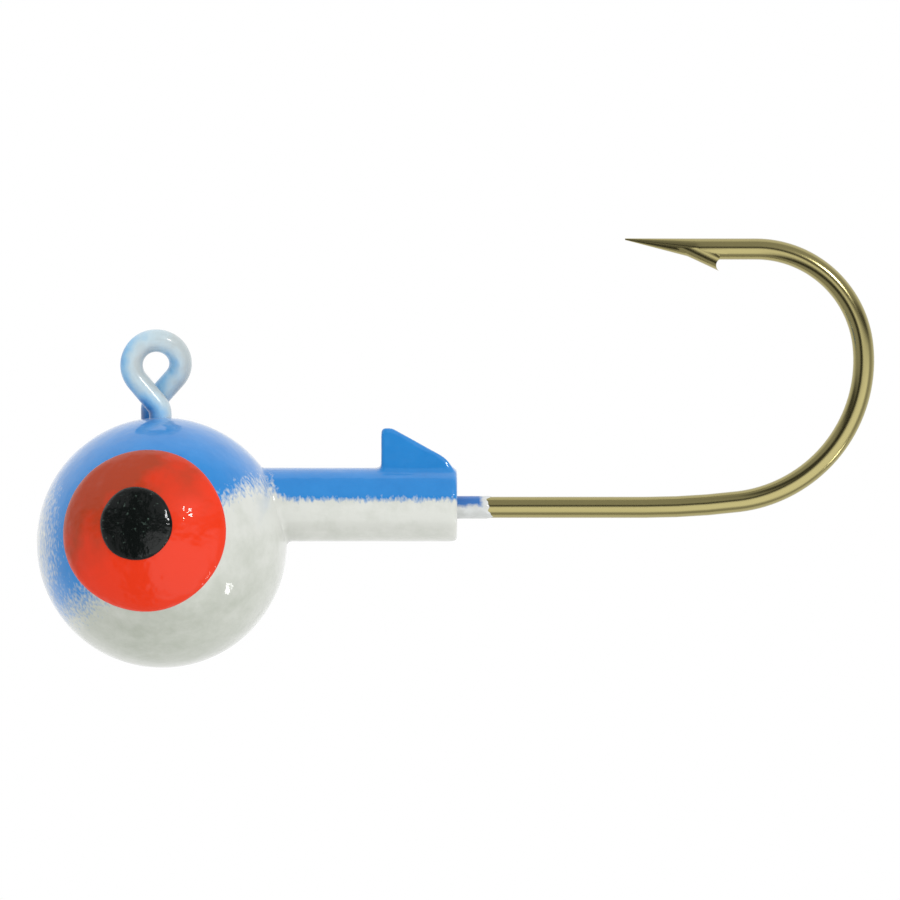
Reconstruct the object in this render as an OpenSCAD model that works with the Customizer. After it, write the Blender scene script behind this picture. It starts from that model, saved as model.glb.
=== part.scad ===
// Painted ball jig head: one bent wire hook with a lead ball, a collar and a bait keeper cast on it,
// then white powder paint, a sprayed back and two enamel eyes.
// Millimetres, Z up. The origin is the middle of the line eye, the shank runs along +X,
// and the hook lies in the XZ plane.

/* [Hook wire] */
// Diameter of the hook's wire
wire_d = 1.1; // [0.9:0.02:1.2]
// Straight shank, from the leg inside the head to the start of the bend
shank_run = 25.2; // [20:0.2:32]
// Radius of the right-angle bend inside the head
leg_bend_r = 2; // [1.5:0.1:2.5]
// Radius of the first, easy part of the hook's bend
sweep_r = 40; // [25:1:60]
// Angle turned in the easy part
sweep_angle = 7; // [4:0.5:12]
// Radius of the lower half of the bend
bend_r = 7.4; // [6:0.1:9]
// Angle turned in the lower half
bend_angle = 89; // [75:1:100]
// Radius of the upper half of the bend
crown_r = 5.6; // [4.5:0.1:7]

/* [Point and barb] */
// Straight wire from the end of the bend to the tip of the point
point_run = 6.8; // [5.6:0.1:8]
// Length of the ground taper behind the tip
point_taper = 3.9; // [3:0.1:5]
// Thickness left at the tip
tip_d = 0.08; // [0.04:0.02:0.2]
// Distance from the tip to the end of the barb
barb_reach = 4.9; // [4:0.1:5.4]
// How far the barb's end stands off the wire
barb_lift = 0.6; // [0.3:0.05:0.8]
// Angle of the barb's free edge to the wire
barb_angle = 25; // [20:1:30]
// Depth of the hollow cut behind the barb
barb_hollow = 0.17; // [0.08:0.01:0.25]

/* [Line eye] */
// Radius of the eye, to the middle of the wire
eye_r = 1.27; // [1.2:0.01:1.6]
// Slant of the two strands where they cross under the eye
cross_angle = 40; // [34:1:50]
// Radius of the bend that turns each strand down into the head
neck_r = 0.9; // [0.7:0.05:1.2]
// How far each strand stands past the middle once it has crossed
neck_spread = 0.23; // [0.1:0.01:0.35]
// Gap between the two painted strands where they cross
strand_gap = 0.03; // [0.02:0.01:0.1]
// Height of the line eye's middle above the shank
eye_rise = 7.4; // [7:0.1:8]
// Depth of the wire's cut end under the lead's surface
tag_hold = 0.6; // [0.5:0.05:1]

/* [Lead head] */
// Diameter of the lead ball, before paint
ball_d = 12.7; // [11.8:0.1:13.4]
// How far the ball's middle hangs below the shank
ball_drop = 1.83; // [1.4:0.01:2.2]
// How far the ball's middle lies behind the leg
ball_back = 0.08; // [-0.4:0.02:0.6]
// Diameter of the collar, before paint
collar_d = 3.55; // [3.1:0.05:4.1]
// How far the collar's axis lies above the wire
collar_lift = 0.14; // [0:0.02:0.3]
// Distance from the ball's middle to the collar's rear face
collar_reach = 15.2; // [13:0.1:18]
// Chamfer round the collar's rear face
collar_chamfer = 0.16; // [0.08:0.02:0.3]

/* [Bait keeper] */
// Length of the keeper, measured forward from the collar's rear face
keeper_len = 3.64; // [3.2:0.05:4.6]
// Height of the keeper above the collar's top
keeper_h = 2.05; // [1.6:0.05:2.6]
// Flat on the keeper's top, from its front face to where the slope starts to round
keeper_flat = 0.28; // [0.2:0.02:0.6]
// Radius along the top of the front face
keeper_nose_r = 0.06; // [0.04:0.02:0.16]
// Radius between the flat top and the slope
keeper_brow_r = 0.3; // [0.15:0.05:0.5]
// Radius of the heel, where the slope turns down to the collar's rear face
keeper_heel_r = 1.55; // [1:0.05:1.7]
// Height of the heel's centre above the collar's axis
keeper_heel_rise = 1.09; // [0.8:0.01:1.3]
// Thickness of the keeper at the collar's axis
keeper_root_t = 1.7; // [1.2:0.05:2.4]
// Thickness of the keeper at its top
keeper_top_t = 0.9; // [0.7:0.05:1.2]
// Radius along the keeper's top edges
keeper_edge_r = 0.25; // [0.1:0.05:0.35]

/* [Paint] */
// Thickness of the white powder paint on the lead
base_t = 0.12; // [0.08:0.01:0.2]
// Thickness of the colour sprayed over the back
back_t = 0.04; // [0.03:0.01:0.08]
// Thickness of the paint film on the bare wire
film_t = 0.04; // [0.03:0.01:0.06]
// Length of painted shank behind the collar
stub_len = 1.7; // [0.8:0.1:2.4]
// Height of the spray's lower edge above the collar's axis
spray_edge = 0.15; // [-0.4:0.05:0.6]
// Slope of the spray's lower edge across the ball
spray_slope = 28; // [15:1:40]
// How far the spray's lower edge passes below the ball's middle
spray_sag = 0.3; // [0:0.05:1]

/* [Eyes] */
// Diameter of the enamel iris
iris_d = 8.5; // [7:0.1:9.2]
// Thickness of the iris at its middle
iris_t = 0.22; // [0.15:0.01:0.35]
// Angle that the iris is turned forward
iris_forward = 9.3; // [0:0.1:16]
// Angle that the iris is turned up
iris_up = 7.5; // [0:0.1:14]
// Diameter of the pupil
pupil_d = 3.7; // [2.6:0.1:4.4]
// Thickness of the pupil at its middle, above the iris
pupil_t = 0.14; // [0.1:0.01:0.2]
// Angle that the pupil is turned forward
pupil_forward = 11.6; // [0:0.1:16]
// Angle that the pupil is turned up
pupil_up = 9.1; // [0:0.1:14]

/* [Hidden] */
$fn = 200;
HULL_FN = 32;
WIRE_SIDES = 20;
// Most degrees that one ring of the swept wire turns through
RING_ANGLE = 8;
LEFT = -1;
RIGHT = 1;

// Hook wire
wire_r = wire_d / 2;
crown_angle = 180 - sweep_angle - bend_angle;
// Straight stretch of each crossing strand, so that it ends neck_spread past the middle
cross_side = eye_r * cos(cross_angle) + neck_spread - neck_r * (1 - cos(cross_angle));
cross_run = cross_side / sin(cross_angle);
// Drop from the middle of the eye to where a strand points straight down
eye_drop = (eye_r + neck_r) * sin(cross_angle) + cross_run * cos(cross_angle);
leg_run = eye_rise - eye_drop - leg_bend_r;
// The eye is twisted at its top, just enough for the two painted strands to pass each other
cross_depth = eye_r * (1 + 1 / sin(cross_angle));
strand_half = (wire_d + 2 * film_t + strand_gap) / 2;
side_step = 2 * asin(strand_half * sin(cross_angle)
    / sqrt(pow(cross_depth * sin(cross_angle), 2) - pow(strand_half * cos(cross_angle), 2)));

// Lead ball
ball_r = ball_d / 2;
ball_x = neck_spread + ball_back;
ball_z = -eye_rise - ball_drop;
// Straight stretch at the cut end, from under the neck's bend to tag_hold inside the ball
top_to_ball = eye_r - ball_z;
tag_past = pow(ball_r - tag_hold, 2) - pow(neck_spread + ball_x, 2) - pow(top_to_ball * sin(side_step), 2);
tag_run = top_to_ball * cos(side_step) - sqrt(tag_past) - eye_r - eye_drop;

// The bender's program, from the wire's cut end to the ground point.
// Each step is a feed, a roll of the wire, a bend radius and a bend angle.
TAG = 0;
NECK = 3;
SHANK = 5;
program = [
    [tag_run, 0, neck_r, cross_angle],
    [cross_run, 180, eye_r, 90 + cross_angle],
    [0, side_step, eye_r, 90 + cross_angle],
    [cross_run, 180, neck_r, cross_angle],
    [leg_run, 180, leg_bend_r, 90],
    [shank_run - leg_bend_r, 0, sweep_r, sweep_angle],
    [0, 0, bend_r, bend_angle],
    [0, 0, crown_r, crown_angle],
    [point_run - point_taper, 0, 0, 0]
];
END = len(program);

// Poses are 4 x 4 matrices: the wire heads along their Z and bends towards their X
function moved(v) = [[1, 0, 0, v.x], [0, 1, 0, v.y], [0, 0, 1, v.z], [0, 0, 0, 1]];
function tipped(a) = [[1, 0, 0, 0], [0, cos(a), -sin(a), 0], [0, sin(a), cos(a), 0], [0, 0, 0, 1]];
function rolled(a) = [[cos(a), -sin(a), 0, 0], [sin(a), cos(a), 0, 0], [0, 0, 1, 0], [0, 0, 0, 1]];
function bent(r, a) = [
    [cos(a), 0, sin(a), r * (1 - cos(a))],
    [0, 1, 0, 0],
    [-sin(a), 0, cos(a), r * sin(a)],
    [0, 0, 0, 1]
];
function fed(step) = moved([0, 0, step[0]]) * rolled(step[1]);
function done(step) = fed(step) * bent(step[2], step[3]);

// The cut end stands behind the leg, in the plane that the twist at the eye's top gives it
start = moved([0, 0, eye_r]) * tipped(side_step) * moved([-neck_spread, 0, -eye_r - eye_drop - tag_run]);
// Pose and total roll before each step of the program, and after the last
poses = [for (i = 0, p = start; i <= END; p = i < END ? p * done(program[i]) : p, i = i + 1) p];
rolls = [for (i = 0, r = 0; i <= END; r = i < END ? r + program[i][1] : r, i = i + 1) r];

// A ring of points about a pose, drawn against the roll so that the sides run untwisted along the wire
function ring(pose, roll, r, shift = 0) = [for (k = [0 : WIRE_SIDES - 1])
    let (a = 360 * k / WIRE_SIDES - roll, p = pose * [r * cos(a) - shift, r * sin(a), 0, 1]) [p.x, p.y, p.z]];

// The rings of one step: one where its feed ends, if it has one, and then one every few degrees of its bend
function step_rings(i, r) =
    let (step = program[i], from = poses[i] * fed(step), n = ceil(step[3] / RING_ANGLE))
    [for (k = [step[0] > 0 ? 0 : 1 : n])
        ring(from * bent(step[2], n > 0 ? step[3] * k / n : 0), rolls[i + 1], r)];

// The rings from the start of one step of the program to the end of another
function wire_rings(first, last, r) =
    [ring(poses[first], rolls[first], r), for (i = [first : last]) each step_rings(i, r)];

// The point is ground from the inside, so each smaller ring moves out to keep the outer line straight
function taper_rings() = [for (t = [1 / 4 : 1 / 4 : 1]) let (r = wire_r + (tip_d / 2 - wire_r) * t)
    ring(poses[END] * moved([0, 0, point_taper * t]), rolls[END], r, wire_r - r)];
tip_x = poses[END][0][3] - point_taper;
tip_z = poses[END][2][3] + wire_r;

// Collar, paint and eyes
collar_r = collar_d / 2;
collar_z = -eye_rise + collar_lift;
white_r = ball_r + base_t;
paint_t = base_t + back_t;

// A cap is a lens on a sphere: its own sphere passes through its rim, and its top stands proud
function cap_rise(base_r, d, t) = base_r + t - sqrt(pow(base_r, 2) - pow(d / 2, 2));
function cap_r(base_r, d, t) =
    let (rise = cap_rise(base_r, d, t)) (pow(d / 2, 2) + pow(rise, 2)) / (2 * rise);
iris_r = cap_r(white_r, iris_d, iris_t);
pupil_r = cap_r(iris_r, pupil_d, pupil_t);

// The direction in which an eye on one side looks
function look(side, forward, up) = [-sin(forward) * cos(up), side * cos(forward) * cos(up), sin(up)];

// Joins a list of rings into one closed solid
module swept(rings) {
    n = len(rings[0]);
    last = len(rings) - 1;
    polyhedron(
        points = [for (one = rings) each one],
        faces = [
            [for (k = [0 : n - 1]) k],
            for (i = [0 : last - 1], k = [0 : n - 1]) each [
                [i * n + k, (i + 1) * n + k, (i + 1) * n + (k + 1) % n],
                [i * n + k, (i + 1) * n + (k + 1) % n, i * n + (k + 1) % n]
            ],
            [for (k = [n - 1 : -1 : 0]) last * n + k]
        ]
    );
}

// The wire that the lead holds: the cut end, the leg, the right-angle bend and the shank
module cast_in_wire() {
    swept(wire_rings(TAG, TAG, wire_r));
    swept(wire_rings(NECK, SHANK, wire_r));
}

// A sliver of the wire's inner side, cut and lifted. The tip of the point is at the origin here,
// and the wire's outer line runs along +X.
module barb() {
    root = barb_reach - (wire_r + barb_lift) / tan(barb_angle);
    edge = wire_d + barb_lift;
    hollow_r = (pow(barb_lift / 2, 2) + pow(barb_hollow, 2)) / (2 * barb_hollow);
    intersection() {
        rotate([90, 0, 0])
            linear_extrude(height = wire_d, center = true)
                difference() {
                    polygon([[root, -wire_r], [barb_reach, -edge], [barb_reach, -wire_r]]);
                    translate([barb_reach - barb_hollow + hollow_r, barb_lift / 2 - edge])
                        circle(r = hollow_r);
                }
        translate([barb_reach, 0, -edge])
            rotate([0, 90 + barb_angle, 0])
                translate([-wire_r, 0, -barb_reach])
                    cylinder(r = wire_r, h = 2 * barb_reach);
    }
}

module hook() {
    color("darkkhaki") {
        swept([each wire_rings(TAG, END - 1, wire_r), each taper_rings()]);
        translate([tip_x, 0, tip_z])
            barb();
    }
}

module ball(r) {
    translate([ball_x, 0, ball_z])
        sphere(r = r);
}

// The collar and its keeper, larger all over by grow
module collar(grow) {
    r = collar_r + grow;
    chamfer_at = collar_reach + grow - collar_chamfer;
    translate([ball_x, 0, collar_z]) {
        rotate([0, 90, 0]) {
            cylinder(r = r, h = chamfer_at);
            translate([0, 0, chamfer_at])
                cylinder(r1 = r, r2 = r - collar_chamfer, h = collar_chamfer);
        }
        intersection() {
            rotate([90, 0, 0])
                linear_extrude(height = keeper_root_t + 2 * grow, center = true)
                    keeper_side(grow);
            rotate([90, 0, 90])
                linear_extrude(height = collar_reach + grow)
                    keeper_end(grow);
        }
    }
}

// The keeper's outline from the side: an upright face in front, and a slope behind that the bait slides up
module keeper_side(grow) {
    front = collar_reach - keeper_len;
    top = collar_r + keeper_h;
    hull($fn = HULL_FN) {
        translate([front - grow, 0])
            square([keeper_len - collar_chamfer + grow, collar_r / 2]);
        translate([front + keeper_nose_r, top - keeper_nose_r])
            circle(r = keeper_nose_r + grow);
        translate([front + keeper_flat, top - keeper_brow_r])
            circle(r = keeper_brow_r + grow);
        translate([collar_reach - keeper_heel_r, keeper_heel_rise])
            circle(r = keeper_heel_r + grow);
    }
}

// The keeper's outline from behind, thinner at the top so that it leaves the mould
module keeper_end(grow) {
    edge_x = keeper_top_t / 2 - keeper_edge_r;
    edge_z = collar_r + keeper_h - keeper_edge_r;
    hull($fn = HULL_FN) {
        translate([-keeper_root_t / 2 - grow, 0])
            square([keeper_root_t + 2 * grow, collar_r / 2]);
        for (side = [LEFT, RIGHT])
            translate([side * edge_x, edge_z])
                circle(r = keeper_edge_r + grow);
    }
}

module lead_head() {
    color("dimgray")
        difference() {
            union() {
                ball(ball_r);
                collar(0);
            }
            cast_in_wire();
        }
}

module base_coat() {
    color("whitesmoke")
        difference() {
            union() {
                ball(white_r);
                collar(base_t);
            }
            ball(ball_r);
            collar(0);
            cast_in_wire();
        }
}

// Where the spray gun reached: above a slanting edge across the ball and a level one along the collar
module sprayed() {
    root_x = ball_x + white_r;
    nose_x = ball_x - 2 * white_r;
    tail_x = collar_reach + 2 * white_r;
    top_z = ball_z + 2 * white_r;
    low_z = ball_z - spray_sag;
    intersection() {
        children();
        rotate([90, 0, 0])
            linear_extrude(height = 4 * white_r, center = true)
                polygon([
                    [nose_x, low_z - 2 * white_r * tan(spray_slope)],
                    [root_x, low_z + white_r * tan(spray_slope)],
                    [root_x, collar_z + spray_edge],
                    [tail_x, collar_z + spray_edge],
                    [tail_x, top_z],
                    [nose_x, top_z]
                ]);
    }
}

module back_coat() {
    color("steelblue")
        difference() {
            sprayed() {
                ball(white_r + back_t);
                collar(paint_t);
            }
            ball(white_r);
            collar(base_t);
            cast_in_wire();
        }
}

module line_eye_paint() {
    color("lightblue")
        difference() {
            swept(wire_rings(TAG, NECK, wire_r + film_t));
            swept(wire_rings(TAG, NECK, wire_r));
            ball(white_r + back_t);
        }
}

module shank_paint() {
    color("whitesmoke")
        translate([ball_x + collar_reach + paint_t, 0, -eye_rise])
            rotate([0, 90, 0])
                difference() {
                    union() {
                        cylinder(r = wire_r + film_t, h = stub_len - film_t);
                        translate([0, 0, stub_len - film_t])
                            cylinder(r1 = wire_r + film_t, r2 = wire_r + film_t / 4, h = film_t);
                    }
                    translate([0, 0, -stub_len])
                        cylinder(r = wire_r, h = 3 * stub_len);
                }
}

// The sphere of a cap that is d across and t thick, on a sphere of radius base_r at the origin
module cap_sphere(base_r, d, t) {
    r = cap_r(base_r, d, t);
    translate([0, 0, base_r + t - r])
        sphere(r = r);
}

// Turns +Z towards where an eye looks
module facing(side, forward, up) {
    rotate([0, 90 - up, side * (90 + forward)])
        children();
}

module iris_cap(side) {
    translate([ball_x, 0, ball_z])
        facing(side, iris_forward, iris_up)
            cap_sphere(white_r, iris_d, iris_t);
}

module iris(side) {
    color("orangered")
        difference() {
            iris_cap(side);
            ball(white_r);
            sprayed()
                ball(white_r + back_t);
        }
}

module pupil(side) {
    middle = (white_r + iris_t - iris_r) * look(side, iris_forward, iris_up);
    color("black")
        difference() {
            translate([ball_x, 0, ball_z])
                translate(middle)
                    facing(side, pupil_forward, pupil_up)
                        cap_sphere(iris_r, pupil_d, pupil_t);
            iris_cap(side);
            ball(white_r + back_t);
        }
}

module iris_left() { iris(LEFT); }
module iris_right() { iris(RIGHT); }
module pupil_left() { pupil(LEFT); }
module pupil_right() { pupil(RIGHT); }

hook();
lead_head();
base_coat();
back_coat();
line_eye_paint();
shank_paint();
iris_left();
iris_right();
pupil_left();
pupil_right();
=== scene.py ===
import math

import bpy
import numpy as np
from mathutils import Matrix, Vector


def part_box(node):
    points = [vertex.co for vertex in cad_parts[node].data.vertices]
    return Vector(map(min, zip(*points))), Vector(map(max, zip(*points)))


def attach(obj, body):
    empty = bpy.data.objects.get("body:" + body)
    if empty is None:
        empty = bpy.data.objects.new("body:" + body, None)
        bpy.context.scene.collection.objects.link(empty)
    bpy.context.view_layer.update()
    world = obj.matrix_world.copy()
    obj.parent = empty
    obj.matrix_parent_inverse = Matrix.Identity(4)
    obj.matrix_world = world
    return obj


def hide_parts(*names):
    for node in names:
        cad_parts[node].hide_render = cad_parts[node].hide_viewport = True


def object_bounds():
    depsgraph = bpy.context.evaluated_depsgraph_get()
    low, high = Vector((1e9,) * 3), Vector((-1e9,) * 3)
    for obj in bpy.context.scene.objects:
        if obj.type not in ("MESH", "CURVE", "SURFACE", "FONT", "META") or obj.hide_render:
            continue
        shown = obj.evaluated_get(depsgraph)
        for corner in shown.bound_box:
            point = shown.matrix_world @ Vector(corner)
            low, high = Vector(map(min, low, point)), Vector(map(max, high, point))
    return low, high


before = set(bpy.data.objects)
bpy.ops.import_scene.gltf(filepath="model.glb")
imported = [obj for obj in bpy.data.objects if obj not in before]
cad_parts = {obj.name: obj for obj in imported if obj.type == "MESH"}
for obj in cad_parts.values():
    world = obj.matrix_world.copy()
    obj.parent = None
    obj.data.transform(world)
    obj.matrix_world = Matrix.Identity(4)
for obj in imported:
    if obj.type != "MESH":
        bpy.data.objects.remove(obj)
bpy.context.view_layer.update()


# ---------------------------------------------------------------------------------------------
# Hook wire
# One length of round high-carbon steel wire, bent on a machine into the line eye, the right angle
# that the lead holds, and the round bend. The point is ground and its barb cut with a blade, then
# the wire is hardened and bronzed: a thin clear lacquer over brown-gold steel.
# ---------------------------------------------------------------------------------------------

# Everything is modelled in millimetres, then brought to the frame's metres
MM = 0.001
wire_r = 0.55
film = 0.04

# The bender's program, as in the CAD part: feed, roll, bend radius, bend angle
neck_spread = 0.23
cross_angle = 40
eye_r = 1.27
neck_r = 0.9
cross_side = eye_r * math.cos(math.radians(cross_angle)) + neck_spread
cross_side -= neck_r * (1 - math.cos(math.radians(cross_angle)))
cross_run = cross_side / math.sin(math.radians(cross_angle))
eye_drop = (eye_r + neck_r) * math.sin(math.radians(cross_angle))
eye_drop += cross_run * math.cos(math.radians(cross_angle))
twist = 22.0
tag_run = 1.73
leg_bend_r = 2.0
eye_rise = 7.4
leg_run = eye_rise - eye_drop - leg_bend_r
shank_run = 25.2
point_run = 6.8
taper_run = 3.9
tip_r = 0.04
EYE_STEPS = (
    (tag_run, 0, neck_r, cross_angle),
    (cross_run, 180, eye_r, 90 + cross_angle),
    (0, twist, eye_r, 90 + cross_angle),
    (cross_run, 180, neck_r, cross_angle),
)
SHANK_STEPS = (
    (leg_run, 180, leg_bend_r, 90),
    (shank_run - leg_bend_r, 0, 40, 7),
    (0, 0, 7.4, 89),
    (0, 0, 5.6, 84),
    (point_run - taper_run, 0, 0, 0),
)


def pick_none():
    """Leaves object mode with nothing selected."""
    if bpy.context.object is not None and bpy.context.object.mode != "OBJECT":
        bpy.ops.object.mode_set(mode="OBJECT")
    bpy.ops.object.select_all(action="DESELECT")


def bent(radius, degrees):
    """The move along an arc that turns from local Z towards local X."""
    a = math.radians(degrees)
    turn = Matrix.Rotation(a, 4, "Y")
    return Matrix.Translation((radius * (1 - math.cos(a)), 0, radius * math.sin(a))) @ turn


def wire_start():
    """Where the cut end stands: behind the leg, in the plane that the twist at the eye's top gives it."""
    tilt = Matrix.Rotation(math.radians(twist), 4, "X")
    below = Matrix.Translation((-neck_spread, 0, -eye_r - eye_drop - tag_run))
    return Matrix.Translation((0, 0, eye_r)) @ tilt @ below


def run_wire(name, pose, steps, radius, sides, ring_angle):
    """Draws a ring through the bender's program: an extrusion for each feed and a spin for each bend."""
    pick_none()
    bpy.ops.mesh.primitive_circle_add(vertices=sides, radius=radius, fill_type="NGON")
    wire = bpy.context.object
    wire.name = name
    wire.matrix_world = pose
    bpy.ops.object.transform_apply(location=True, rotation=True, scale=True)
    bpy.ops.object.mode_set(mode="EDIT")
    for feed, roll, bend_r, bend_angle in steps:
        forward = pose.to_3x3() @ Vector((0, 0, 1))
        bites = max(1, round(feed / 1.5)) if feed else 0
        for _ in range(bites):
            bpy.ops.mesh.extrude_region_move(TRANSFORM_OT_translate={"value": forward * feed / bites})
        pose = pose @ Matrix.Translation((0, 0, feed)) @ Matrix.Rotation(math.radians(roll), 4, "Z")
        if bend_angle:
            bpy.ops.mesh.spin(
                steps=max(2, round(bend_angle / ring_angle)),
                angle=-math.radians(bend_angle),
                center=pose @ Vector((bend_r, 0, 0)),
                axis=pose.to_3x3() @ Vector((0, 1, 0)),
            )
            pose = pose @ bent(bend_r, bend_angle)
    return wire, pose


def mesh_points(piece):
    """A piece's points as rows of x, y and z."""
    points = np.empty(len(piece.data.vertices) * 3)
    piece.data.vertices.foreach_get("co", points)
    return points.reshape(-1, 3)


def set_points(piece, points):
    """Puts a piece's points at new places."""
    piece.data.vertices.foreach_set("co", points.ravel())
    piece.data.update()


def modify(piece, kind, **settings):
    """Adds one modifier with its settings and applies it."""
    pick_none()
    piece.select_set(True)
    bpy.context.view_layer.objects.active = piece
    modifier = piece.modifiers.new(kind.title(), kind)
    for key, value in settings.items():
        setattr(modifier, key, value)
    bpy.ops.object.modifier_apply(modifier=modifier.name)


def finish(piece, slot, *stands_for, smooth=180):
    """Brings a piece from millimetres to metres at the origin, and seats it on the frame."""
    pick_none()
    piece.select_set(True)
    bpy.context.view_layer.objects.active = piece
    piece.scale = (MM, MM, MM)
    piece.location = piece.location * MM
    bpy.ops.object.transform_apply(location=True, rotation=True, scale=True)
    bpy.ops.object.shade_smooth_by_angle(angle=math.radians(smooth))
    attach(piece, "root")
    if stands_for:
        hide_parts(*stands_for)


def linear(hex_colour):
    """An sRGB hex colour as linear red, green, blue and alpha."""
    parts = [int(hex_colour[i : i + 2], 16) / 255 for i in (1, 3, 5)]
    return [c / 12.92 if c <= 0.04045 else ((c + 0.055) / 1.055) ** 2.4 for c in parts] + [1]


def add(material, kind, links=None, **settings):
    """Adds one node, sets its properties and inputs by name, and links inputs to other nodes' outputs."""
    node = material.node_tree.nodes.new(kind)
    for key, value in settings.items():
        setattr(node, key, value)
    for key, value in (links or {}).items():
        socket = node.inputs[key]
        if isinstance(value, bpy.types.NodeSocket):
            material.node_tree.links.new(value, socket)
        else:
            socket.default_value = value
    return node


def blank_material(name):
    """A node material with nothing in it yet."""
    material = bpy.data.materials.new(name)
    material.use_nodes = True
    material.node_tree.nodes.clear()
    return material


# The wire, then its ground point: each ring is smaller and moves out, so the outer line stays straight
hook, pose = run_wire("hook_wire", wire_start(), EYE_STEPS + SHANK_STEPS, wire_r, 48, 2.5)
TAPER_RINGS = 14
ring_r = wire_r
for k in range(TAPER_RINGS):
    new_r = wire_r + (tip_r - wire_r) * (k + 1) / TAPER_RINGS
    forward = pose.to_3x3() @ Vector((0, 0, taper_run / TAPER_RINGS))
    outward = pose.to_3x3() @ Vector((new_r - ring_r, 0, 0))
    bpy.ops.mesh.extrude_region_move(TRANSFORM_OT_translate={"value": forward + outward})
    centre = pose @ Vector((new_r - wire_r, 0, taper_run * (k + 1) / TAPER_RINGS))
    share = new_r / ring_r
    bpy.ops.transform.resize(value=(share, share, share), center_override=centre)
    ring_r = new_r
tip = pose @ Vector((-wire_r, 0, taper_run))
pick_none()

# Each point keeps its place on the straight wire, in millimetres, for marks that follow the wire
SIDES = 48
count = len(hook.data.vertices) // SIDES
rings = mesh_points(hook)[: count * SIDES].reshape(count, SIDES, 3)
middles = rings.mean(axis=1)
reach = np.concatenate([[0], np.cumsum(np.linalg.norm(np.diff(middles, axis=0), axis=1))])
turn = np.arange(SIDES) * 2 * math.pi / SIDES
straight = np.zeros((len(hook.data.vertices), 3), np.float32)
straight[: count * SIDES, 0] = np.tile(np.cos(turn) * wire_r, count)
straight[: count * SIDES, 1] = np.tile(np.sin(turn) * wire_r, count)
straight[: count * SIDES, 2] = np.repeat(reach, SIDES)
unrolled = hook.data.attributes.new("straight_wire", "FLOAT_VECTOR", "POINT")
unrolled.data.foreach_set("vector", straight.ravel())

# The barb: a wedge of the wire's inner side, cut forward and lifted, with the blade's hollow behind it
barb_reach = 4.9
barb_lift = 0.6
barb_angle = 25
barb_hollow = 0.17
edge = 2 * wire_r + barb_lift
root = barb_reach - (wire_r + barb_lift) / math.tan(math.radians(barb_angle))
pick_none()
bpy.ops.mesh.primitive_cylinder_add(vertices=48, radius=wire_r, depth=4 * barb_reach)
barb = bpy.context.object
barb.name = "barb"
slant = Matrix.Rotation(math.radians(90 + barb_angle), 4, "Y")
barb_edge = Matrix.Translation(tip + Vector((barb_reach, 0, -edge)))
barb.matrix_world = barb_edge @ slant @ Matrix.Translation((-wire_r, 0, 0))
bpy.ops.object.transform_apply(location=True, rotation=True, scale=True)
bpy.ops.object.mode_set(mode="EDIT")
BARB_CUTS = (((barb_reach, 0, 0), (1, 0, 0)), ((0, 0, -wire_r * 0.9), (0, 0, 1)), ((root, 0, 0), (-1, 0, 0)))
for place, away in BARB_CUTS:
    bpy.ops.mesh.select_all(action="SELECT")
    bpy.ops.mesh.bisect(plane_co=tip + Vector(place), plane_no=away, use_fill=True, clear_outer=True)
pick_none()
hollow_r = ((barb_lift / 2) ** 2 + barb_hollow**2) / (2 * barb_hollow)
bpy.ops.mesh.primitive_cylinder_add(
    vertices=96, radius=hollow_r, depth=4 * wire_r, rotation=(math.pi / 2, 0, 0),
)
blade = bpy.context.object
blade.location = tip + Vector((barb_reach - barb_hollow + hollow_r, 0, barb_lift / 2 - edge))
modify(barb, "BOOLEAN", object=blade, operation="DIFFERENCE", solver="EXACT")
modify(hook, "BOOLEAN", object=barb, operation="UNION", solver="EXACT")
bpy.data.objects.remove(blade)
bpy.data.objects.remove(barb)

# Bronzed steel: drawn wire, so faint lines run along it, under a lacquer that pools and stains.
# The lacquer is brownest by the lead and nearly worn off the ground point.
bronzed = blank_material("bronzed_hook_steel")
along = add(bronzed, "ShaderNodeAttribute", attribute_name="straight_wire")
lines_map = add(bronzed, "ShaderNodeMapping", {"Vector": along.outputs["Vector"], "Scale": (7, 7, 0.25)})
lines = add(bronzed, "ShaderNodeTexNoise", {"Vector": lines_map.outputs["Vector"], "Scale": 1.0, "Detail": 4.0})
stain_map = add(bronzed, "ShaderNodeMapping", {"Vector": along.outputs["Vector"], "Scale": (1.2, 1.2, 0.5)})
stain = add(bronzed, "ShaderNodeTexNoise", {"Vector": stain_map.outputs["Vector"], "Scale": 1.0, "Detail": 3.0})
run = add(bronzed, "ShaderNodeSeparateXYZ", {"Vector": along.outputs["Vector"]})
run = add(bronzed, "ShaderNodeMapRange", {"Value": run.outputs["Z"], "From Max": float(reach[-1])})
lacquer = add(bronzed, "ShaderNodeValToRGB", {"Fac": run.outputs["Result"]})
lacquer.color_ramp.elements[0].position = 0.2
lacquer.color_ramp.elements[0].color = linear("#B0A672")
lacquer.color_ramp.elements[1].position = 0.95
lacquer.color_ramp.elements[1].color = linear("#EAE6D6")
for place, colour in ((0.42, "#C8BC84"), (0.6, "#E2D89E"), (0.84, "#ECE4B0")):
    lacquer.color_ramp.elements.new(place).color = linear(colour)
shade = add(bronzed, "ShaderNodeMapRange", {"Value": lines.outputs["Fac"], "To Min": 0.6, "To Max": 1.25})
tone = add(
    bronzed, "ShaderNodeVectorMath", {0: lacquer.outputs["Color"], "Scale": shade.outputs["Result"]},
    operation="SCALE",
)
rough = add(bronzed, "ShaderNodeMapRange", {"Value": stain.outputs["Fac"], "To Min": 0.1, "To Max": 0.26})
bump = add(bronzed, "ShaderNodeBump", {"Height": lines.outputs["Fac"], "Strength": 0.3, "Distance": 0.00003})
steel = add(bronzed, "ShaderNodeBsdfPrincipled", {
    "Base Color": tone.outputs["Vector"],
    "Metallic": 1.0,
    "Roughness": rough.outputs["Result"],
    "Normal": bump.outputs["Normal"],
})
add(bronzed, "ShaderNodeOutputMaterial", {"Surface": steel.outputs["BSDF"]})
hook.data.materials.append(bronzed)
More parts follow.
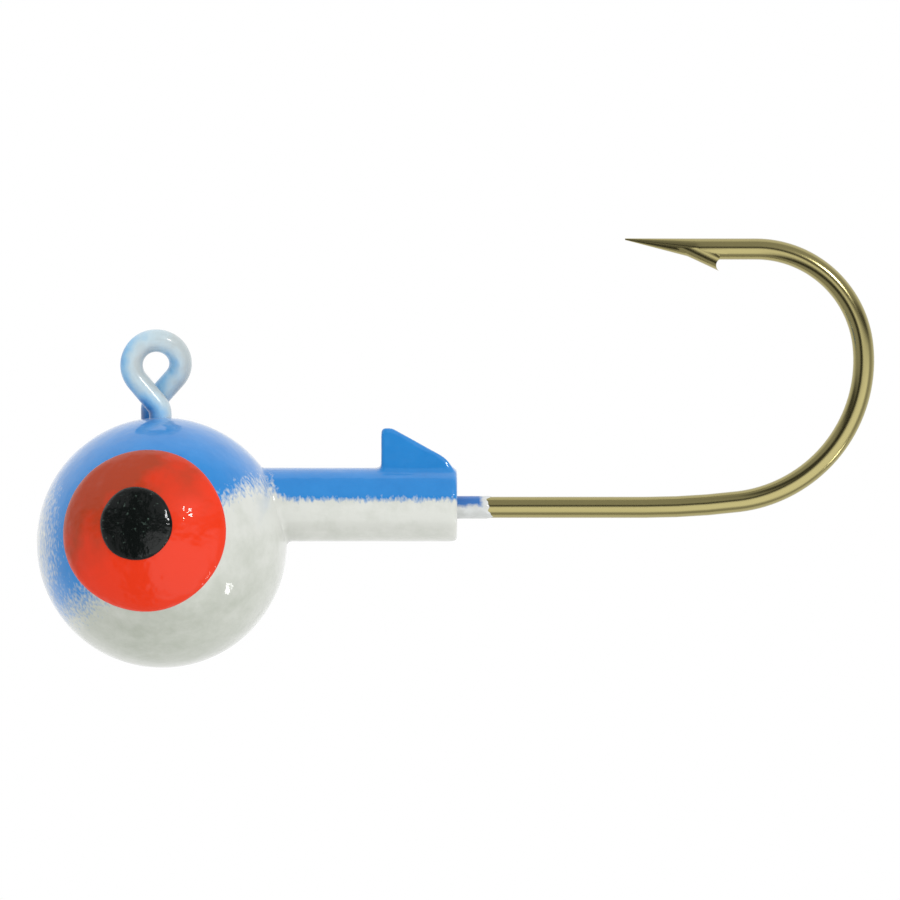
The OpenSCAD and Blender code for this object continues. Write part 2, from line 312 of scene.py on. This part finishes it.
finish(hook, "hook_wire", "hook", smooth=40)


# ---------------------------------------------------------------------------------------------
# Painted head
# A lead ball with a straight collar and a fin-shaped bait keeper, cast on the wire in one shot.
# It is dipped hot in pearl white powder paint, which melts into one skin and fills the corners,
# and its back is sprayed blue, so the edge of the blue is a fine spatter.
# ---------------------------------------------------------------------------------------------

white_box = [Vector(c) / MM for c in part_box("base_coat")]
blue_box = [Vector(c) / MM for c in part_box("back_coat")]
ball_r = (blue_box[1].y - blue_box[0].y) / 2
white_r = (white_box[1].y - white_box[0].y) / 2
ball = Vector((white_box[0].x + white_r, 0, white_box[0].z + white_r))
collar_z = -7.26
collar_r = 1.92
collar_end = blue_box[1].x
collar_chamfer = 0.2

pick_none()
bpy.ops.mesh.primitive_uv_sphere_add(segments=160, ring_count=80, radius=ball_r, location=ball)
head = bpy.context.object
head.name = "painted_head"
bpy.ops.object.transform_apply(location=True, rotation=True, scale=True)


def pick(piece, kind, chosen):
    """Opens a piece in edit mode with the points, or the edges by both ends, that pass a test selected."""
    pick_none()
    bpy.context.view_layer.objects.active = piece
    piece.select_set(True)
    bpy.ops.object.mode_set(mode="EDIT")
    bpy.ops.mesh.select_mode(type=kind)
    bpy.ops.mesh.select_all(action="DESELECT")
    bpy.ops.object.mode_set(mode="OBJECT")
    points = piece.data.vertices
    if kind == "EDGE":
        for line in piece.data.edges:
            line.select = all(chosen(points[i].co) for i in line.vertices)
    else:
        for point in points:
            point.select = chosen(point.co)
    bpy.ops.object.mode_set(mode="EDIT")


# The collar, from inside the ball to its chamfered rear face
pick_none()
collar_run = collar_end - ball.x
bpy.ops.mesh.primitive_cylinder_add(
    vertices=96, radius=collar_r, depth=collar_run, rotation=(0, math.pi / 2, 0),
    location=(ball.x + collar_run / 2, 0, collar_z),
)
collar = bpy.context.object
bpy.ops.object.transform_apply(location=True, rotation=True, scale=True)
pick(collar, "EDGE", lambda p: p.x > collar_end - 0.01)
bpy.ops.mesh.bevel(offset=collar_chamfer, segments=2, affect="EDGES")
pick_none()

# The keeper: a block whose sides lean in, its slope cut off, its corners rounded as the mould leaves them
keeper_front = collar_end - 3.96
keeper_top = collar_z + 3.985
keeper_foot = collar_z + 0.4
root_half = 1.03
top_half = 0.61
slope_angle = math.radians(29)
brow = Vector((keeper_front + 0.44, 0, keeper_top - 0.46))
brow_r = 0.46
heel_r = 1.7
bpy.ops.mesh.primitive_cube_add(
    size=1,
    location=((keeper_front + collar_end) / 2, 0, (keeper_foot + keeper_top) / 2),
    scale=(collar_end - keeper_front, 2 * root_half, keeper_top - keeper_foot),
)
keeper = bpy.context.object
bpy.ops.object.transform_apply(location=True, rotation=True, scale=True)
pick(keeper, "VERT", lambda p: p.z > keeper_top - 0.01)
bpy.ops.transform.resize(value=(1, top_half / root_half, 1), center_override=(0, 0, 0))
slope_away = Vector((math.sin(slope_angle), 0, math.cos(slope_angle)))
bpy.ops.mesh.select_all(action="SELECT")
bpy.ops.mesh.bisect(
    plane_co=brow + slope_away * brow_r, plane_no=slope_away, use_fill=True, clear_outer=True,
)
pick_none()


def round_edge(piece, radius, turn_angle, chosen):
    """Rounds the edges that pass the test to a radius, where the surface turns by an angle."""
    pick(piece, "EDGE", chosen)
    bpy.ops.mesh.bevel(offset=radius * math.tan(turn_angle / 2), segments=12, affect="EDGES")
    pick_none()


# The heel's corner is where the slope comes down to the rear face
slope_point = brow + slope_away * brow_r
heel_z = slope_point.z - (collar_end - slope_point.x) * math.tan(slope_angle)
brow_x = slope_point.x - (keeper_top - slope_point.z) / math.tan(slope_angle)
heel_turn = math.pi / 2 - slope_angle
round_edge(keeper, heel_r, heel_turn, lambda p: p.x > collar_end - 0.01 and abs(p.z - heel_z) < 0.02)
round_edge(keeper, brow_r, slope_angle, lambda p: abs(p.x - brow_x) < 0.02 and p.z > keeper_top - 0.02)
round_edge(keeper, 0.2, math.pi / 2, lambda p: p.x < keeper_front + 0.01 and p.z > keeper_top - 0.02)
bpy.ops.object.select_all(action="DESELECT")

# The three run into one skin, as melted powder does, and the ball is trued again
for part in (collar, keeper):
    part.select_set(True)
head.select_set(True)
bpy.context.view_layer.objects.active = head
bpy.ops.object.join()
modify(head, "REMESH", mode="VOXEL", voxel_size=0.107, use_smooth_shade=True)
modify(head, "SMOOTH", factor=0.5, iterations=8)
points = mesh_points(head)
out = points - np.array(ball)
away = np.linalg.norm(out, axis=1)
shrunk = np.median(away[points[:, 0] < ball.x])
rise = away - shrunk
blend = np.clip((rise - 0.02) / 0.1, 0, 1)
true_r = ball_r + rise * blend * blend * (3 - 2 * blend)
on_ball = (rise > -0.06) & (points[:, 0] < ball.x + ball_r)
points[on_ball] = np.array(ball) + out[on_ball] * (true_r / away)[on_ball, None]
set_points(head, points)

# How far each point lies inside the blue, in widths of the spray's edge. The gun stood over the
# back, so the edge slants down the ball to the nose and runs level on the collar. On the nose the blue
# fades to white: thin spray there, and a painted pale rim that stands for the gloss's rim reflection.
x, z = points[:, 0], points[:, 2]
edge_line = np.minimum(ball.z + 0.7 * (x - ball.x), ball.z + 3.1)
edge_width = 0.8 - 0.4 * np.clip((x - ball.x + 3) / 6, 0, 1)
nose_fade_and_painted_rim = (x - ball.x + ball_r - 0.6) / 0.5
over_ball = np.minimum((z - edge_line) / edge_width, nose_fade_and_painted_rim)
over_collar = (z - collar_z - 0.3) / 0.11
past_root = np.clip((x - ball.x - 5.75) / 0.9, 0, 1)
inside = (over_ball + (over_collar - over_ball) * past_root).astype(np.float32)
head.data.attributes.new("inside_blue", "FLOAT", "POINT").data.foreach_set("value", inside)

# Pearl white powder paint with the blue sprayed over it, one clear gloss over both. The spray's
# grains are drawn about 0.15 mm across, coarser than real droplets, so that they show.
pearl = blank_material("sprayed_pearl_powder_paint")
place = add(pearl, "ShaderNodeTexCoord").outputs["Object"]
grain_map = add(pearl, "ShaderNodeMapping", {"Vector": place, "Scale": (6500, 6500, 3600)})
grains = add(pearl, "ShaderNodeTexNoise", {"Vector": grain_map.outputs["Vector"], "Scale": 1.0, "Detail": 3.0})
depth = add(pearl, "ShaderNodeAttribute", attribute_name="inside_blue")
spread = add(pearl, "ShaderNodeMath", {0: grains.outputs["Fac"], 1: 1.9, 2: -0.45}, operation="MULTIPLY_ADD")
cover = add(
    pearl, "ShaderNodeMath", {0: depth.outputs["Fac"], 1: 0.3, 2: spread.outputs[0]},
    operation="MULTIPLY_ADD", use_clamp=True,
)
patches = add(pearl, "ShaderNodeTexNoise", {"Vector": place, "Scale": 700.0, "Detail": 5.0, "Roughness": 0.65})
# Painted shade: the pearl white darkens towards the bottom of the ball, on top of its random mottle
spot = add(pearl, "ShaderNodeSeparateXYZ", {"Vector": place})
height = add(pearl, "ShaderNodeMapRange", {"Value": spot.outputs["Z"], "From Min": -0.0158, "From Max": -0.008})
mottle_and_painted_shade = add(
    pearl, "ShaderNodeMath", {0: patches.outputs["Fac"], 1: 1.3, 2: -0.65}, operation="MULTIPLY_ADD",
)
mottle_and_painted_shade = add(pearl, "ShaderNodeMath", {0: height.outputs[0], 1: mottle_and_painted_shade.outputs[0]}, operation="ADD", use_clamp=True)
white = add(pearl, "ShaderNodeValToRGB", {"Fac": mottle_and_painted_shade.outputs[0]})
white.color_ramp.elements[0].color = linear("#A9AFA2")
white.color_ramp.elements[1].color = linear("#D0D2CC")
blue = add(pearl, "ShaderNodeMix", {"Factor": patches.outputs["Fac"]}, data_type="RGBA")
blue.inputs[6].default_value = linear("#0A74BE")
blue.inputs[7].default_value = linear("#2488D2")
dusted = add(pearl, "ShaderNodeMapRange", {"Value": cover.outputs[0], "From Min": 0.05, "From Max": 0.85})
coat = add(
    pearl, "ShaderNodeMix", {0: dusted.outputs[0], 6: white.outputs["Color"], 7: blue.outputs[2]}, data_type="RGBA",
)
peel = add(pearl, "ShaderNodeTexNoise", {"Vector": place, "Scale": 850.0, "Detail": 2.0})
bump = add(pearl, "ShaderNodeBump", {"Height": peel.outputs["Fac"], "Strength": 0.5, "Distance": 0.00008})
skin = add(pearl, "ShaderNodeBsdfPrincipled", {
    "Base Color": coat.outputs[2],
    "Roughness": 0.35,
    "Specular IOR Level": 0.2,
    "Sheen Weight": 0.25,
    "Sheen Roughness": 0.3,
    "Coat Weight": 1.0,
    "Coat Roughness": 0.06,
    "Normal": bump.outputs["Normal"],
    "Coat Normal": bump.outputs["Normal"],
})
add(pearl, "ShaderNodeOutputMaterial", {"Surface": skin.outputs["BSDF"]})
head.data.materials.append(pearl)
finish(head, "white_paint", "base_coat", "back_coat")

# Cast lead under the paint: dull blue-grey, with the fine grain and oxide bloom of a mould's wall
lead = blank_material("oxidised_cast_lead")
place = add(lead, "ShaderNodeTexCoord").outputs["Object"]
bloom = add(lead, "ShaderNodeTexNoise", {"Vector": place, "Scale": 900.0, "Detail": 5.0})
tone = add(lead, "ShaderNodeValToRGB", {"Fac": bloom.outputs["Fac"]})
tone.color_ramp.elements[0].color = linear("#5E6268")
tone.color_ramp.elements[1].color = linear("#8E9297")
grain = add(lead, "ShaderNodeTexNoise", {"Vector": place, "Scale": 6000.0, "Detail": 3.0})
bump = add(lead, "ShaderNodeBump", {"Height": grain.outputs["Fac"], "Strength": 0.5, "Distance": 0.00004})
metal = add(lead, "ShaderNodeBsdfPrincipled", {
    "Base Color": tone.outputs["Color"],
    "Metallic": 1.0,
    "Roughness": 0.55,
    "Normal": bump.outputs["Normal"],
})
add(lead, "ShaderNodeOutputMaterial", {"Surface": metal.outputs["BSDF"]})
casting = bpy.data.objects["lead_head"]
casting.data.materials.clear()
casting.data.materials.append(lead)


# ---------------------------------------------------------------------------------------------
# Painted line eye
# The same dip leaves a thin film on the wire of the line eye. It bridges the crossing of the two
# strands, thickens where they stand in the ball, and carries blue overspray and painted shade on its front edge.
# ---------------------------------------------------------------------------------------------

IN_BALL = ((0.7, 180, 0, 0),)
eye, _ = run_wire("painted_line_eye", wire_start(), EYE_STEPS + IN_BALL, wire_r + film, 40, 4)
bpy.ops.mesh.edge_face_add()
pick_none()
modify(eye, "REMESH", mode="VOXEL", voxel_size=0.04, use_smooth_shade=True)
modify(eye, "SMOOTH", factor=0.5, iterations=4)

# Blue on what faces the nose, thickest by the ball: partly overspray, partly painted shade on that side and low
# down
flat_normals = np.empty(len(eye.data.vertices) * 3)
eye.data.vertices.foreach_get("normal", flat_normals)
facing = -flat_normals.reshape(-1, 3)[:, 0]
low = np.clip((-mesh_points(eye)[:, 2] - 0.9) / 1.6, 0, 1)
overspray_and_painted_shade = (0.2 + 0.42 * facing + 0.38 * low).astype(np.float32)
eye.data.attributes.new("blue_overspray_and_shade", "FLOAT", "POINT").data.foreach_set("value", overspray_and_painted_shade)

# A thin film of the same pearl white, satin where it is too thin to flow, with fine blue overspray and painted
# shade
film_paint = blank_material("dusted_white_paint_film")
place = add(film_paint, "ShaderNodeTexCoord").outputs["Object"]
patches = add(film_paint, "ShaderNodeTexNoise", {"Vector": place, "Scale": 1400.0, "Detail": 4.0})
dust_and_painted_light = add(film_paint, "ShaderNodeAttribute", attribute_name="blue_overspray_and_shade")
uneven = add(
    film_paint, "ShaderNodeMath", {0: patches.outputs["Fac"], 1: 0.5, 2: -0.25}, operation="MULTIPLY_ADD",
)
cover = add(film_paint, "ShaderNodeMath", {0: dust_and_painted_light.outputs["Fac"], 1: uneven.outputs[0]}, operation="ADD")
tone = add(film_paint, "ShaderNodeValToRGB", {"Fac": cover.outputs[0]})
tone.color_ramp.elements[0].position = 0.0
tone.color_ramp.elements[0].color = linear("#B2BCBE")
tone.color_ramp.elements[1].position = 0.95
tone.color_ramp.elements[1].color = linear("#145C9C")
for at, colour in ((0.25, "#BBD0DA"), (0.5, "#86BCE2"), (0.72, "#3C8ACA")):
    tone.color_ramp.elements.new(at).color = linear(colour)
bump = add(film_paint, "ShaderNodeBump", {"Height": patches.outputs["Fac"], "Strength": 0.4, "Distance": 0.00004})
skin = add(film_paint, "ShaderNodeBsdfPrincipled", {
    "Base Color": tone.outputs["Color"],
    "Roughness": 0.4,
    "Coat Weight": 0.6,
    "Coat Roughness": 0.15,
    "Normal": bump.outputs["Normal"],
})
add(film_paint, "ShaderNodeOutputMaterial", {"Surface": skin.outputs["BSDF"]})
eye.data.materials.append(film_paint)
finish(eye, "eye_film", "line_eye_paint")


# ---------------------------------------------------------------------------------------------
# Painted shank stub
# Where the dip reached past the collar it left a film on the shank, with a touch of the blue on
# its upper side. It ends in a thin ragged edge.
# ---------------------------------------------------------------------------------------------

stub_box = [Vector(c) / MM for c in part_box("shank_paint")]
stub_len = stub_box[1].x - stub_box[0].x
shank_z = (stub_box[0].z + stub_box[1].z) / 2
pick_none()
bpy.ops.mesh.primitive_circle_add(
    vertices=96, radius=wire_r + film, fill_type="NOTHING",
    location=(stub_box[0].x - 0.1, 0, shank_z), rotation=(0, math.pi / 2, 0),
)
stub = bpy.context.object
stub.name = "painted_stub"
bpy.ops.object.transform_apply(location=True, rotation=True, scale=True)
bpy.ops.object.mode_set(mode="EDIT")
bpy.ops.mesh.select_all(action="SELECT")
STUB_RINGS = 24
for k in range(STUB_RINGS):
    bpy.ops.mesh.extrude_region_move(TRANSFORM_OT_translate={"value": ((stub_len + 0.1) / STUB_RINGS, 0, 0)})
pick_none()
points = mesh_points(stub)
at = (points[:, 0] - stub_box[0].x) / stub_len
around = np.arctan2(points[:, 1], points[:, 2] - shank_z)
ragged = 0.1 * np.sin(2 * around + 0.6) + 0.06 * np.sin(5 * around + 2) + 0.03 * np.sin(11 * around)
points[:, 0] += np.clip(at, 0, 1) * ragged
end = np.clip((at - 0.86) / 0.14, 0, 1)
thin_film_and_iris_shade = 1 - end * end * (film + 0.012) / (wire_r + film)
points[:, 1] *= thin_film_and_iris_shade
points[:, 2] = shank_z + (points[:, 2] - shank_z) * thin_film_and_iris_shade
set_points(stub, points)

# The blue touched the top of the stub only, in one blot that stops short of the film's end
blot_up = (points[:, 2] - shank_z - 0.08) / 0.12
blot_back = (stub_box[0].x + 1.25 - points[:, 0]) / 0.12
blot = np.minimum(blot_up, blot_back).astype(np.float32)
stub.data.attributes.new("inside_blot", "FLOAT", "POINT").data.foreach_set("value", blot)

# Thin white paint, greyer where the steel shows through it
stub_paint = blank_material("thin_paint_on_wire")
place = add(stub_paint, "ShaderNodeTexCoord").outputs["Object"]
wobble = add(stub_paint, "ShaderNodeTexNoise", {"Vector": place, "Scale": 2600.0, "Detail": 3.0})
depth = add(stub_paint, "ShaderNodeAttribute", attribute_name="inside_blot")
push = add(stub_paint, "ShaderNodeMath", {0: wobble.outputs["Fac"], 1: 3.0, 2: -1.0}, operation="MULTIPLY_ADD")
cover = add(
    stub_paint, "ShaderNodeMath", {0: depth.outputs["Fac"], 1: 0.6, 2: push.outputs[0]},
    operation="MULTIPLY_ADD", use_clamp=True,
)
film_tone = add(stub_paint, "ShaderNodeMix", {"Factor": wobble.outputs["Fac"]}, data_type="RGBA")
film_tone.inputs[6].default_value = linear("#B9BCBA")
film_tone.inputs[7].default_value = linear("#DCDFDF")
tone = add(stub_paint, "ShaderNodeMix", {0: cover.outputs[0], 6: film_tone.outputs[2]}, data_type="RGBA")
tone.inputs[7].default_value = linear("#1C6AB4")
skin = add(stub_paint, "ShaderNodeBsdfPrincipled", {
    "Base Color": tone.outputs[2],
    "Roughness": 0.4,
    "Coat Weight": 0.6,
    "Coat Roughness": 0.12,
})
add(stub_paint, "ShaderNodeOutputMaterial", {"Surface": skin.outputs["BSDF"]})
stub.data.materials.append(stub_paint)
finish(stub, "white_paint", "shank_paint")


# ---------------------------------------------------------------------------------------------
# Enamel eyes
# Two drops of thick enamel on each side of the ball, put on with a round-ended rod: red-orange,
# then black on top once it is dry. Each drop stands proud with a round shoulder and a wet gloss.
# ---------------------------------------------------------------------------------------------


def drop(name, base_r, rim_r, thick, shoulder):
    """A drop of enamel on a ball's top: a rim, a round shoulder and a shallow crown, ring by ring."""
    pick_none()
    sink = 0.03
    rim_z = math.sqrt(base_r**2 - rim_r**2) - sink
    bpy.ops.mesh.primitive_circle_add(vertices=160, radius=rim_r, fill_type="NGON", location=(0, 0, rim_z))
    dab = bpy.context.object
    dab.name = name
    bpy.ops.object.transform_apply(location=True, rotation=True, scale=True)
    bpy.ops.object.mode_set(mode="EDIT")
    radii = [rim_r - shoulder * (1 - math.cos(math.pi / 2 * k / 10)) for k in range(1, 11)]
    radii += [(rim_r - shoulder) * (1 - k / 24) for k in range(1, 24)]
    last_r, last_z = rim_r, rim_z
    for r in radii:
        inward = min(1, (rim_r - r) / shoulder)
        height = thick * (0.62 * math.sqrt(1 - (1 - inward) ** 2) + 0.38 * (1 - (r / rim_r) ** 2))
        z = math.sqrt(base_r**2 - r**2) + height
        bpy.ops.mesh.extrude_region_move(TRANSFORM_OT_translate={"value": (0, 0, z - last_z)})
        bpy.ops.transform.resize(value=(r / last_r, r / last_r, 1), center_override=(0, 0, z))
        last_r, last_z = r, z
    bpy.ops.mesh.merge(type="CENTER")
    pick_none()
    return dab


def hand_made(dab, base_r, wobbles):
    """Pulls a drop out of round by small waves about its middle, and keeps it on the ball."""
    points = mesh_points(dab)
    flat = np.hypot(points[:, 0], points[:, 1])
    angle = np.arctan2(points[:, 1], points[:, 0])
    stretch = 1 + sum(size * np.cos(waves * (angle - math.radians(at))) for waves, size, at in wobbles)
    new_flat = flat * stretch
    points[:, 0] *= stretch
    points[:, 1] *= stretch
    points[:, 2] += np.sqrt(base_r**2 - new_flat**2) - np.sqrt(base_r**2 - flat**2)
    set_points(dab, points)


def seat_eye(dab, side, forward, up, lift=0.0):
    """Turns a drop's top towards where that eye looks, and puts it on the ball."""
    tilt = Matrix.Rotation(side * math.radians(90 + forward), 4, "Z")
    tilt = tilt @ Matrix.Rotation(math.radians(90 - up), 4, "Y")
    pick_none()
    bpy.context.view_layer.objects.active = dab
    dab.select_set(True)
    dab.matrix_world = Matrix.Translation(ball) @ tilt @ Matrix.Translation((0, 0, lift))
    bpy.ops.object.transform_apply(location=True, rotation=True, scale=True)


# Red-orange enamel with painted shade: bright red low down, darker and brownish towards its upper
# front, as if lit from below and behind, with random flow in the edge between. Slow ripples where it flowed break
# up what its wet gloss mirrors.
red = blank_material("red_orange_enamel")
place = add(red, "ShaderNodeTexCoord").outputs["Object"]
# Painted shade: the red darkens along this axis, towards the eye's upper front
painted_shade_axis = add(red, "ShaderNodeVectorMath", {0: place, 1: (-0.62 / MM, 0, 0.78 / MM)}, operation="DOT_PRODUCT")
flow = add(red, "ShaderNodeTexNoise", {"Vector": place, "Scale": 650.0, "Detail": 5.0})
uneven = add(red, "ShaderNodeMath", {0: flow.outputs["Fac"], 1: 5.0, 2: -2.5}, operation="MULTIPLY_ADD")
thin_film_and_iris_shade = add(red, "ShaderNodeMath", {0: painted_shade_axis.outputs["Value"], 1: uneven.outputs[0]}, operation="ADD")
thin_film_and_iris_shade = add(red, "ShaderNodeMapRange", {"Value": thin_film_and_iris_shade.outputs[0], "From Min": -7.2, "From Max": -3.6})
tone = add(red, "ShaderNodeValToRGB", {"Fac": thin_film_and_iris_shade.outputs["Result"]})
tone.color_ramp.elements[0].color = linear("#E23410")
tone.color_ramp.elements[1].color = linear("#A63A1C")
tone.color_ramp.elements.new(0.5).color = linear("#CE3412")
ripple = add(red, "ShaderNodeTexNoise", {"Vector": place, "Scale": 900.0, "Detail": 2.0})
bump = add(red, "ShaderNodeBump", {"Height": ripple.outputs["Fac"], "Strength": 1.0, "Distance": 0.00014})
skin = add(red, "ShaderNodeBsdfPrincipled", {
    "Base Color": tone.outputs["Color"],
    "Roughness": 0.4,
    "Specular IOR Level": 0.1,
    "Coat Weight": 1.0,
    "Coat IOR": 1.33,
    "Coat Roughness": 0.03,
    "Coat Normal": bump.outputs["Normal"],
})
add(red, "ShaderNodeOutputMaterial", {"Surface": skin.outputs["BSDF"]})

# Black enamel: dense and glossy, with pale specks that are partly dust caught in it while it was wet, partly
# painted glints of its pits
black = blank_material("black_enamel")
place = add(black, "ShaderNodeTexCoord").outputs["Object"]
dust_and_painted_light = add(black, "ShaderNodeTexNoise", {"Vector": place, "Scale": 4200.0, "Detail": 4.0})
tone = add(black, "ShaderNodeValToRGB", {"Fac": dust_and_painted_light.outputs["Fac"]})
tone.color_ramp.elements[0].position = 0.64
tone.color_ramp.elements[0].color = linear("#050B09")
tone.color_ramp.elements[1].position = 0.85
tone.color_ramp.elements[1].color = linear("#52665C")
ripple = add(black, "ShaderNodeTexNoise", {"Vector": place, "Scale": 1300.0, "Detail": 3.0})
bump = add(black, "ShaderNodeBump", {"Height": ripple.outputs["Fac"], "Strength": 1.0, "Distance": 0.00012})
skin = add(black, "ShaderNodeBsdfPrincipled", {
    "Base Color": tone.outputs["Color"],
    "Roughness": 0.4,
    "Specular IOR Level": 0.1,
    "Coat Weight": 1.0,
    "Coat IOR": 1.33,
    "Coat Roughness": 0.03,
    "Coat Normal": bump.outputs["Normal"],
})
add(black, "ShaderNodeOutputMaterial", {"Surface": skin.outputs["BSDF"]})

iris_r = 4.25
iris_thick = 0.2
iris_forward, iris_up = 9.3, 7.5
pupil_r = 1.91
pupil_thick = 0.2
pupil_forward, pupil_up = 10.9, 9.1
for side, which in ((-1, "left"), (1, "right")):
    iris = drop(f"enamel_iris_{which}", ball_r, iris_r, iris_thick, 0.35)
    hand_made(iris, ball_r, ((2, 0.008, 90), (3, 0.006, 40), (5, 0.004, 10)))
    seat_eye(iris, side, iris_forward, iris_up)
    iris.data.materials.append(red)
    finish(iris, "iris_enamel", f"iris_{which}")
    pupil = drop(f"enamel_pupil_{which}", ball_r + iris_thick, pupil_r, pupil_thick, 0.3)
    hand_made(pupil, ball_r + iris_thick, ((2, 0.012, 30), (3, 0.01, 70), (6, 0.006, 20)))
    seat_eye(pupil, side, pupil_forward, pupil_up, -0.02)
    pupil.data.materials.append(black)
    finish(pupil, "pupil_enamel", f"pupil_{which}")


# ---------------------------------------------------------------------------------------------
# Studio
# A wide pale floor under an even white sky, with two window-like lamps to the right, one high in
# front and one low. The gloss mirrors a grey room: bright on the right, dark where the builder stands.
# ---------------------------------------------------------------------------------------------

low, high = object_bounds()
middle = (low + high) / 2
floor_drop = 0.25
pick_none()
bpy.ops.mesh.primitive_circle_add(
    vertices=128, radius=4, fill_type="NGON", location=(middle.x, 0, low.z - floor_drop),
)
floor = bpy.context.object
floor.name = "studio_floor"
paper = blank_material("matt_white_paper")
fibres = add(paper, "ShaderNodeTexNoise", {"Scale": 300.0, "Detail": 3.0})
tone = add(paper, "ShaderNodeMix", {"Factor": fibres.outputs["Fac"]}, data_type="RGBA")
tone.inputs[6].default_value = linear("#ECECEA")
tone.inputs[7].default_value = linear("#F4F4F2")
sheet = add(paper, "ShaderNodeBsdfPrincipled", {"Base Color": tone.outputs[2], "Roughness": 0.9})
add(paper, "ShaderNodeOutputMaterial", {"Surface": sheet.outputs["BSDF"]})
floor.data.materials.append(paper)
floor.visible_glossy = False


def lamp(name, azimuth, elevation, distance, size, power):
    """A square soft lamp that looks at the jig from an azimuth and an elevation, as the views count them."""
    a, e = math.radians(azimuth), math.radians(elevation)
    back = Vector((math.sin(a) * math.cos(e), -math.cos(a) * math.cos(e), math.sin(e)))
    bpy.ops.object.light_add(type="AREA", location=middle + back * distance)
    light = bpy.context.object
    light.name = name
    light.data.shape = "SQUARE"
    light.data.size = size
    light.data.energy = power
    light.rotation_euler = (-back).to_track_quat("-Z", "Y").to_euler()
    light.visible_camera = False


lamp("high_window", 33, 29, 1.2, 0.17, 3.6)
lamp("low_window", 77, -36, 0.36, 0.04, 0.05)

room = bpy.data.worlds.new("white_room")
room.use_nodes = True
room.node_tree.nodes.clear()
toward = add(room, "ShaderNodeTexCoord").outputs["Generated"]
part = add(room, "ShaderNodeSeparateXYZ", {"Vector": toward})
to_front = add(room, "ShaderNodeMath", {0: part.outputs["Y"], 1: -1.0}, operation="MULTIPLY")
azimuth = add(room, "ShaderNodeMath", {0: part.outputs["X"], 1: to_front.outputs[0]}, operation="ARCTAN2")
azimuth = add(room, "ShaderNodeMath", {0: azimuth.outputs[0]}, operation="DEGREES")
elevation = add(room, "ShaderNodeMath", {0: part.outputs["Z"]}, operation="ARCSINE")
elevation = add(room, "ShaderNodeMath", {0: elevation.outputs[0]}, operation="DEGREES")


def span(angle, centre, half, edge):
    """1 within half of the centre, falling to 0 over the edge, in degrees."""
    off = add(room, "ShaderNodeMath", {0: angle.outputs[0], 1: centre}, operation="SUBTRACT")
    off = add(room, "ShaderNodeMath", {0: off.outputs[0]}, operation="ABSOLUTE")
    limits = {"Value": off.outputs[0], "From Min": half + edge, "From Max": half - edge}
    return add(room, "ShaderNodeMapRange", limits, interpolation_type="SMOOTHSTEP").outputs["Result"]


def place_in_room(wide, tall):
    """Where a span of azimuth and a span of elevation cross."""
    return add(room, "ShaderNodeMath", {0: wide, 1: tall}, operation="MULTIPLY").outputs[0]


# Grey in front, white behind, a bright low wall on the right, and the dark of the builder and shelf
behind = span(azimuth, 0, 105, 25)
bright = place_in_room(span(azimuth, 26, 36, 12), span(elevation, -26, 30, 12))
builder = place_in_room(span(azimuth, -25, 14, 9), span(elevation, 0, 65, 15))
shelf = place_in_room(span(azimuth, 0, 85, 12), span(elevation, 17, 8, 7))
dark = add(room, "ShaderNodeMath", {0: builder, 1: shelf}, operation="MAXIMUM").outputs[0]
walls = add(room, "ShaderNodeMix", {0: behind, 2: 1.0, 3: 0.5}, data_type="FLOAT")
walls = add(room, "ShaderNodeMix", {0: bright, 2: walls.outputs[0], 3: 1.45}, data_type="FLOAT")
walls = add(room, "ShaderNodeMix", {0: dark, 2: walls.outputs[0], 3: 0.05}, data_type="FLOAT")
sky = add(room, "ShaderNodeMapRange", {"Value": part.outputs["Z"], "From Min": -0.3, "From Max": 0.3})
sky.inputs["To Min"].default_value = 0.75
path = add(room, "ShaderNodeLightPath")
for_eye = add(room, "ShaderNodeBackground", {"Color": linear("#FFFFFF"), "Strength": 1.0})
for_light = add(room, "ShaderNodeBackground", {"Color": linear("#FFFFFF"), "Strength": sky.outputs["Result"]})
for_gloss = add(room, "ShaderNodeBackground", {"Color": linear("#FFFFFF"), "Strength": walls.outputs[0]})
glossy = path.outputs["Is Glossy Ray"]
lit = add(room, "ShaderNodeMixShader", {0: glossy, 1: for_light.outputs[0], 2: for_gloss.outputs[0]})
direct = path.outputs["Is Camera Ray"]
seen = add(room, "ShaderNodeMixShader", {0: direct, 1: lit.outputs[0], 2: for_eye.outputs[0]})
add(room, "ShaderNodeOutputWorld", {"Surface": seen.outputs[0]})
bpy.context.scene.world = room
bpy.context.scene.view_settings.view_transform = "Standard"

# The picture is 46.8 mm wide at the jig, and a little more of it lies over the shank than under
picture_w = 46.8 * MM
away = 0.7
bpy.ops.object.camera_add(
    location=(15.29 * MM, -away, -4.42 * MM), rotation=(math.pi / 2, 0, 0),
)
camera = bpy.context.object
camera.data.sensor_width = 36
camera.data.lens = 36 * away / picture_w
camera.data.clip_start = 0.01
camera.data.clip_end = 50
bpy.context.scene.camera = camera
